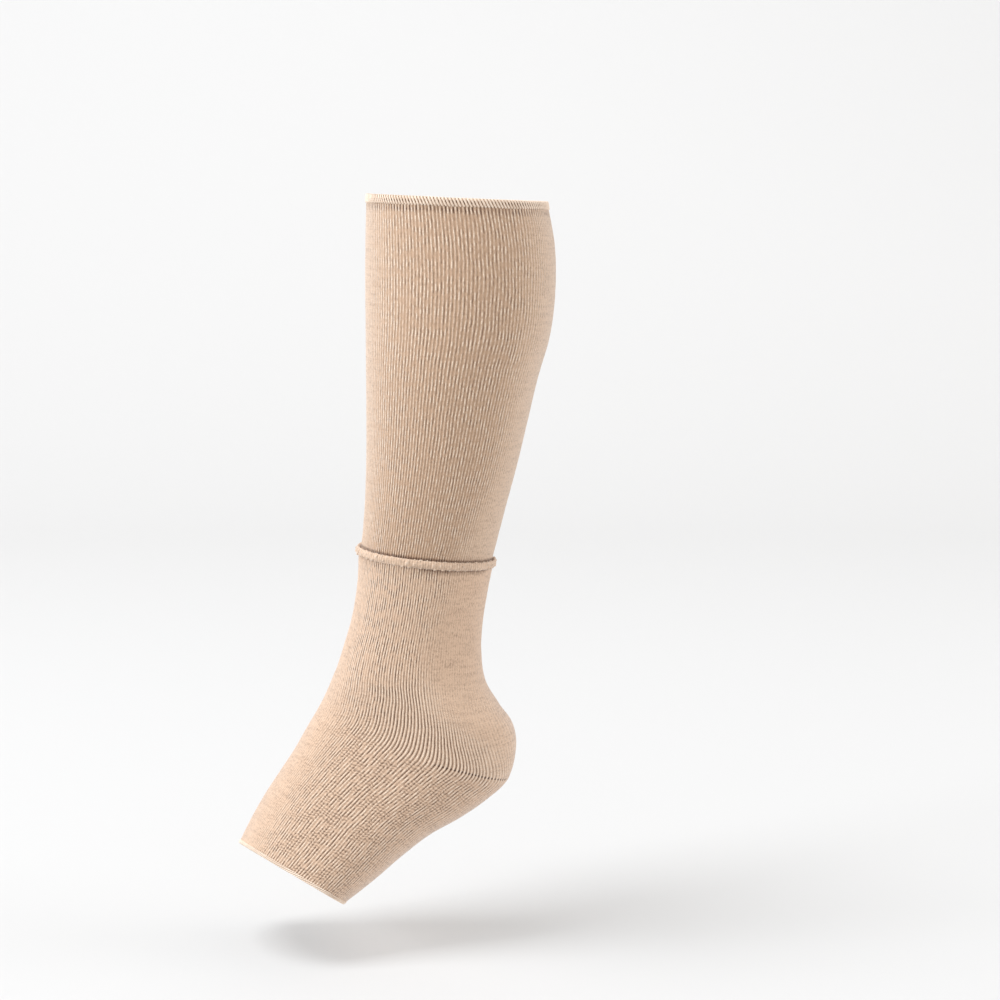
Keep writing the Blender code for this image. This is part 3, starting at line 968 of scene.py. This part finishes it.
def knit_material(name, flank_colour, uneven, depth, crossed, plain):
    """Rib knit: pale crests with a painted highlight, tan flanks and brown gaps of painted shade,
    broken up by uneven tension.

    uneven moves the ribs sideways, in wales. depth is how dark the gaps' painted shade is. crossed
    is the strength of the cross marks. plain is how pale the cloth is where no ribs show.
    """
    cloth = Cloth(name, roughness=0.88, sheen_weight=0.5, sheen_roughness=0.5)
    wale, course = cloth.parts(cloth.node("UVMap", "UV", [("uv_map", "stitches")]))
    line, pinch, shown, painted_roll_shade, even = (
        cloth.node("Attribute", "Fac", [("attribute_name", label)])
        for label in ("line", "pinch", "shown", "painted_roll_shade", "even")
    )

    def noise(across, down, detail):
        """Noise with so many features for each wale and each course."""
        place = cloth.node("CombineXYZ", "Vector", X=wale * across, Y=course * down)
        return cloth.node("TexNoise", "Fac", [("noise_dimensions", "2D")],
                          Vector=place, Scale=1.0, Detail=detail, Roughness=0.55)

    lean = noise(0.45, 0.15, 1.0) - 0.5
    jog = noise(0.90, 0.40, 0.0) - 0.5
    tension = noise(1.00, 0.32, 1.0).ramp(0.38, 0.58)
    patch = noise(0.20, 0.15, 1.0).ramp(0.36, 0.58)
    fibre = noise(1.5, 0.9, 2.0)
    crosswise = noise(0.12, 0.55, 1.0)
    off_crest = ((wale + (lean + jog) * uneven + 0.5).math("FRACT") - 0.5).math("ABSOLUTE") * 2.0
    stitch = (course + off_crest * 0.4 + lean * 0.8).wave() * 0.5 + 0.5
    broken = (tension * 0.75 + 0.25) * (patch * 0.45 + 0.55)
    strength = (broken * (1.0 - even) + (tension * 0.3 + 0.7) * even) * shown
    hatch = (course * HATCH_PITCH + lean * 1.2 + jog).wave() * 0.5 + 0.5
    fine = course.ramp(*FOREFOOT_COURSES) * crossed
    crossing = (hatch - 0.3) * (1.0 - patch * 0.8) * (1.0 - even) * shown * fine
    # Painted shade: the gaps between the ribs are painted dark. The crests are painted near white,
    # partly a painted highlight.
    gap = off_crest.ramp(0.50, 0.95) * strength
    # Painted highlight: the knobs that stand out on the rolled edge are painted lighter, with the
    # fibre's grain in it.
    loops = even * (fibre.ramp(0.40, 0.60) + 0.25) * 0.75
    crest = (1.0 - off_crest.ramp(0.02, 0.50)) * strength + (1.0 - shown) * (loops + plain)
    hole = (1.0 - line.ramp(*HOLE_EDGE)) * (wale.wave() * -0.5 + 0.5).ramp(0.35, 0.75)
    # Painted shade in the gaps that open under the hem; the bump deepens them too.
    drawn = pinch * off_crest.ramp(0.30, 0.80)
    streaks = (crosswise - 0.5) * ((1.0 - shown) * 0.35 + 0.12)
    grain = (fibre - 0.45) * ((1.0 - shown) * 0.65 + 0.50)
    # dark sums painted shade (the gaps, the opened gaps under the hem, the line at the rolled edge) and
    # the knit's own marks: cross marks, grain, streaks and holes.
    dark = (gap * (depth - fine * 0.15) + crossing + grain + streaks
            + hole * 0.8 + drawn * 0.85 + painted_roll_shade * 0.75)
    colour = cloth.mix(crest * (0.75 + stitch * 0.25), flank_colour, CREST_COLOUR)
    colour = cloth.mix(dark.clamped(), colour, GAP_COLOUR)
    height = crest * 0.9 - gap * 0.8 + stitch * 0.30 + fibre * 0.55 - hole * 1.5 - drawn * 0.8
    return cloth.finish(colour, height, KNIT_BUMP)


def thread_material(name, shaded):
    """Pale spun thread, uneven in tone; shaded is how much darker the thread under is."""
    cloth = Cloth(name, roughness=0.85, sheen_weight=0.3, sheen_roughness=0.45)
    place = cloth.node("TexCoord", "Object")
    grain = cloth.node("TexNoise", "Fac", Vector=place, Scale=2600.0, Detail=2.0, Roughness=0.6)
    patch = cloth.node("TexNoise", "Fac", Vector=place, Scale=160.0, Detail=1.0, Roughness=0.5)
    share = grain.ramp(0.35, 0.75) * 0.5 + patch.ramp(0.35, 0.7) * 0.25
    under = cloth.node("Attribute", "Fac", [("attribute_name", "under")])
    colour = cloth.mix(share, THREAD_COLOUR, THREAD_SHADE)
    colour = cloth.mix(under * shaded, colour, UNDER_COLOUR)
    return cloth.finish(colour, grain, THREAD_BUMP)


LEG_LOOK = {"uneven": 0.18, "depth": 0.60, "crossed": 0.08, "plain": 0.24}
FOOT_LOOK = {"uneven": 0.12, "depth": 1.05, "crossed": 0.62, "plain": 0.00}
for piece, material in (
    (leg_knit, knit_material("leg_rib_knit", LEG_FLANK, **LEG_LOOK)),
    (foot_knit, knit_material("foot_rib_knit", FOOT_FLANK, **FOOT_LOOK)),
    (hem, thread_material("hem_thread", shaded=0.6)),
    (edging, thread_material("toe_edge_thread", shaded=0.25)),
):
    piece.data.materials.append(material)
print("materials:", ", ".join(m.name for m in bpy.data.materials if m.users))

# %% [markdown]
# ## What each piece stands for
#
# The solid model carries the size and the collision, these surfaces the looks. A piece could stay
# unlinked, but then nothing would say which solid it covers. So every piece rides on the one body
# and takes over its solid, which is hidden.

# %% Pieces on the frame
for piece, node, slot in (
    (leg_knit, "leg_tube", "leg_knit"),
    (foot_knit, "foot_sleeve", "foot_knit"),
    (hem, "leg_hem", "hem_thread"),
    (edging, "toe_edging", "edging_thread"),
):
    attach(piece, "root")
    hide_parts(node)

# %% [markdown]
# ## Floor, light and camera
#
# A studio's paper sweep lies under and behind, so no corner shows. A plane and a bright world would
# do, but then the floor and the back would differ in tone. The paper is a little darker to the
# front, where the lights are near, and glows faintly, which keeps it even. A large soft light comes
# from the front left, one from above and a weaker one from the right, in an even surround. The
# camera looks from the outer side, 7.8 degrees down, through a long lens.

# %% Stage
FLOOR_Z = -0.445
SWEEP_BEND, SWEEP_WIDTH, SWEEP_HEIGHT = 1.2, 12.0, 5.0
SWEEP_FRONT, SWEEP_BACK = -4.0, 1.6
BEND_STEPS = 25
PAPER_DARK, PAPER_LIGHT, PAPER_GLOW = 182, 202, 0.22


def paper_material():
    """Pale paper: its tone goes from dark to light with the distance to the right and the back."""
    paper = Cloth("pale_paper", roughness=0.9)
    right, back = paper.parts(paper.node("TexCoord", "Object"))
    share = (right * 0.1 + back * 0.3 + 0.2).clamped()
    tone = paper.mix(share, linear(*[PAPER_DARK] * 3), linear(*[PAPER_LIGHT] * 3))
    feed(paper.tree, paper.shader.inputs["Base Color"], tone)
    paper.shader.inputs["Emission Color"].default_value = (1.0, 1.0, 1.0, 1.0)
    paper.shader.inputs["Emission Strength"].default_value = PAPER_GLOW
    return paper.material


def sweep_stage():
    """A floor that bends up into a wall: straight, a quarter circle, straight."""
    bend = np.linspace(0, math.pi / 2, BEND_STEPS)
    back = SWEEP_BACK + np.concatenate((SWEEP_BEND * np.sin(bend), [SWEEP_BEND]))
    back = [SWEEP_FRONT, *back.tolist()]
    up = [0.0, *(SWEEP_BEND * (1 - np.cos(bend))).tolist(), SWEEP_HEIGHT]
    sides = (-SWEEP_WIDTH / 2, SWEEP_WIDTH / 2)
    points = [(x, y, FLOOR_Z + z) for y, z in zip(back, up) for x in sides]
    faces = [(2 * i, 2 * i + 1, 2 * i + 3, 2 * i + 2) for i in range(len(back) - 1)]
    mesh = bpy.data.meshes.new("pale_sweep")
    mesh.from_pydata(points, [], faces)
    mesh.materials.append(paper_material())
    return place_mesh("pale_sweep", mesh)


sweep_stage()


# %% Lights
def soft_light(name, place, aim, size, watts, colour):
    """A square area light that faces a point."""
    data = bpy.data.lights.new(name, "AREA")
    data.size = size
    data.energy = watts
    data.color = colour
    made = bpy.data.objects.new(name, data)
    made.location = place
    x, y, z = (end - begin for begin, end in zip(place, aim))
    made.rotation_euler = (math.atan2(math.hypot(x, y), -z), 0.0, math.atan2(-x, y))
    bpy.context.scene.collection.objects.link(made)


for name, place, aim, size, watts, colour in (
    ("key", (-3.3, -1.3, 1.0), (0, 0, -0.2), 2.2, 86.0, (0.95, 0.99, 1.03)),
    ("top", (-0.9, -0.3, 2.3), (0, 0, -0.3), 1.2, 46.0, (0.97, 0.99, 1.01)),
    ("right_fill", (2.4, -0.2, 0.4), (0, 0, -0.2), 1.6, 26.0, (0.98, 1.0, 1.02)),
):
    soft_light(name, place, aim, size, watts, colour)
world = bpy.data.worlds.new("surround")
world.use_nodes = True
surround = world.node_tree.nodes["Background"]
surround.inputs["Color"].default_value = (1.0, 0.970, 0.94, 1.0)
surround.inputs["Strength"].default_value = 0.66
bpy.context.scene.world = world
bpy.context.scene.view_settings.view_transform = "Standard"

# %% Camera
LOOK_DOWN = math.radians(7.816)
camera = bpy.data.objects.new("camera", bpy.data.cameras.new("camera"))
camera.data.sensor_width = 36.0
camera.data.lens = 79.2
camera.location = (0.02469, -1.29, 0.0)
camera.rotation_euler = (math.pi / 2 - LOOK_DOWN, 0.0, 0.0)
bpy.context.scene.collection.objects.link(camera)
bpy.context.scene.camera = camera
